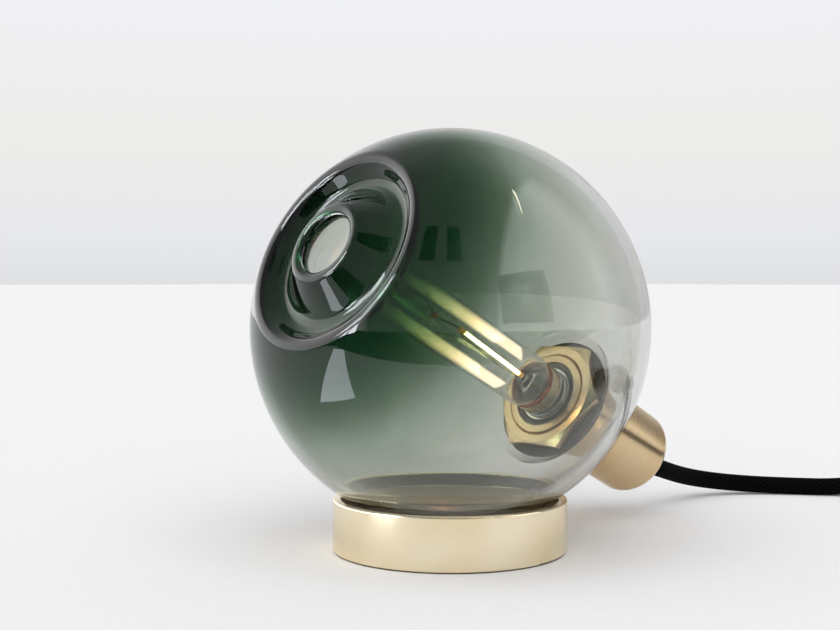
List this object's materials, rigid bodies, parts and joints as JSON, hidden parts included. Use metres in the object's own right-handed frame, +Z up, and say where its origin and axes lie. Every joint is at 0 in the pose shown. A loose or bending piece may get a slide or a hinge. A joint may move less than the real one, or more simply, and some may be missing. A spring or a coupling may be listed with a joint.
{
  "type": "table lamp",
  "caption": "Table lamp: thick smoked glass globe with a rolled dimple hole, resting in a brass ring, with a brass lampholder through its neck, a tubular bulb and a black textile cord.",
  "frame": {"origin": "on the table under the centre of the base ring, in the plane of its felt foot", "axes": "+Z up; +X the way the lampholder points, 27 degrees below the horizontal; +Y to the left of it"},
  "size_m": [0.4357, 0.3473, 0.2009],
  "materials": {
    "satin_brass": "satin turned brass",
    "smoked_glass": "smoked green-grey blown glass, glossy",
    "black_rubber": "matt black rubber",
    "grey_felt": "pressed felt",
    "grey_ceramic": "matt grey insulating body",
    "plated_brass": "nickel plated brass, satin",
    "zinc_steel": "zinc plated steel",
    "black_nylon": "matt moulded nylon",
    "black_fabric": "braided black textile",
    "brown_sleeve": "brown insulation",
    "blue_sleeve": "blue insulation",
    "green_sleeve": "green and yellow insulation",
    "clear_glass": "thin clear glass",
    "cap_aluminium": "bright rolled sheet",
    "red_cement": "matt reddish bonding cement",
    "black_insulator": "black fused glass",
    "amber_phosphor": "amber phosphor coating",
    "driver_board": "potted circuit board",
    "black_plastic": "fine textured black moulding",
    "rocker_plastic": "glossy black moulding"
  },
  "bodies": {
    "base": {"base_ring": "satin_brass", "seat_ring": "black_rubber", "foot_ring": "grey_felt"},
    "lead": {"cord_lead": "black_fabric", "cord_link": "black_fabric", "cord_coil": "black_fabric", "cord_tail": "black_fabric", "switch_base": "black_plastic", "switch_cover": "black_plastic", "rocker_pin": "zinc_steel", "switch_screws": "zinc_steel", "switch_contacts": "plated_brass", "switch_wires": "brown_sleeve", "plug_relief": "black_rubber", "plug_body": "black_plastic", "plug_face": "black_plastic", "plug_pins": "plated_brass", "plug_earth_clips": "plated_brass"},
    "rocker": {"switch_rocker": "rocker_plastic"},
    "globe": {"glass_globe": "smoked_glass", "neck_nut": "satin_brass", "inner_gasket": "black_rubber", "outer_gasket": "black_rubber", "nose_sleeve": "satin_brass", "lampholder_barrel": "satin_brass", "cord_bush": "black_rubber", "socket_body": "grey_ceramic", "screw_shell": "plated_brass", "centre_contact": "plated_brass", "shell_contact": "plated_brass", "terminal_screws": "zinc_steel", "retaining_ring": "satin_brass", "cord_stub": "black_fabric", "clamp_lower": "black_nylon", "clamp_upper": "black_nylon", "clamp_screws": "zinc_steel", "earth_screw": "zinc_steel", "live_wire": "brown_sleeve", "neutral_wire": "blue_sleeve", "earth_wire": "green_sleeve"},
    "bulb_thread": {"tip_contact": "plated_brass"},
    "bulb": {"bulb_glass": "clear_glass", "bulb_cap": "cap_aluminium", "cap_insulator": "black_insulator", "cap_cement": "red_cement", "stem_glass": "clear_glass", "filament": "amber_phosphor", "filament_clips": "amber_phosphor", "return_wire": "zinc_steel", "support_wire": "zinc_steel", "support_bead": "amber_phosphor", "bulb_driver": "driver_board"}
  },
  "joints": [
    {"name": "globe_swivel", "type": "hinge", "parent": "base", "child": "lead", "pos_m": [0, 0, 0], "axis": [0, 0, 1], "continuous": true},
    {"name": "globe_tilt", "type": "hinge", "parent": "lead", "child": "globe", "pos_m": [0, 0, 0.1059], "axis": [0, 1, 0], "range_deg": [-50, 4], "deforming": ["cord_lead"]},
    {"name": "bulb_advance", "type": "slide", "parent": "globe", "child": "bulb_thread", "axis": [-0.891, 0, 0.454], "range_m": [0, 0.00726]},
    {"name": "bulb_turn", "type": "hinge", "parent": "bulb_thread", "child": "bulb", "pos_m": [0, 0, 0.1059], "axis": [-0.891, 0, 0.454], "range_deg": [0, 720]},
    {"name": "switch_rocker", "type": "hinge", "parent": "lead", "child": "rocker", "pos_m": [0.30149, -0.09573, 0.0165], "axis": [0.9135, 0.4067, 0], "range_deg": [0, 16]}
  ],
  "couplings": [
    {"joint": "bulb_turn", "follows": "bulb_advance", "rad_per_m": 1730.9}
  ]
}
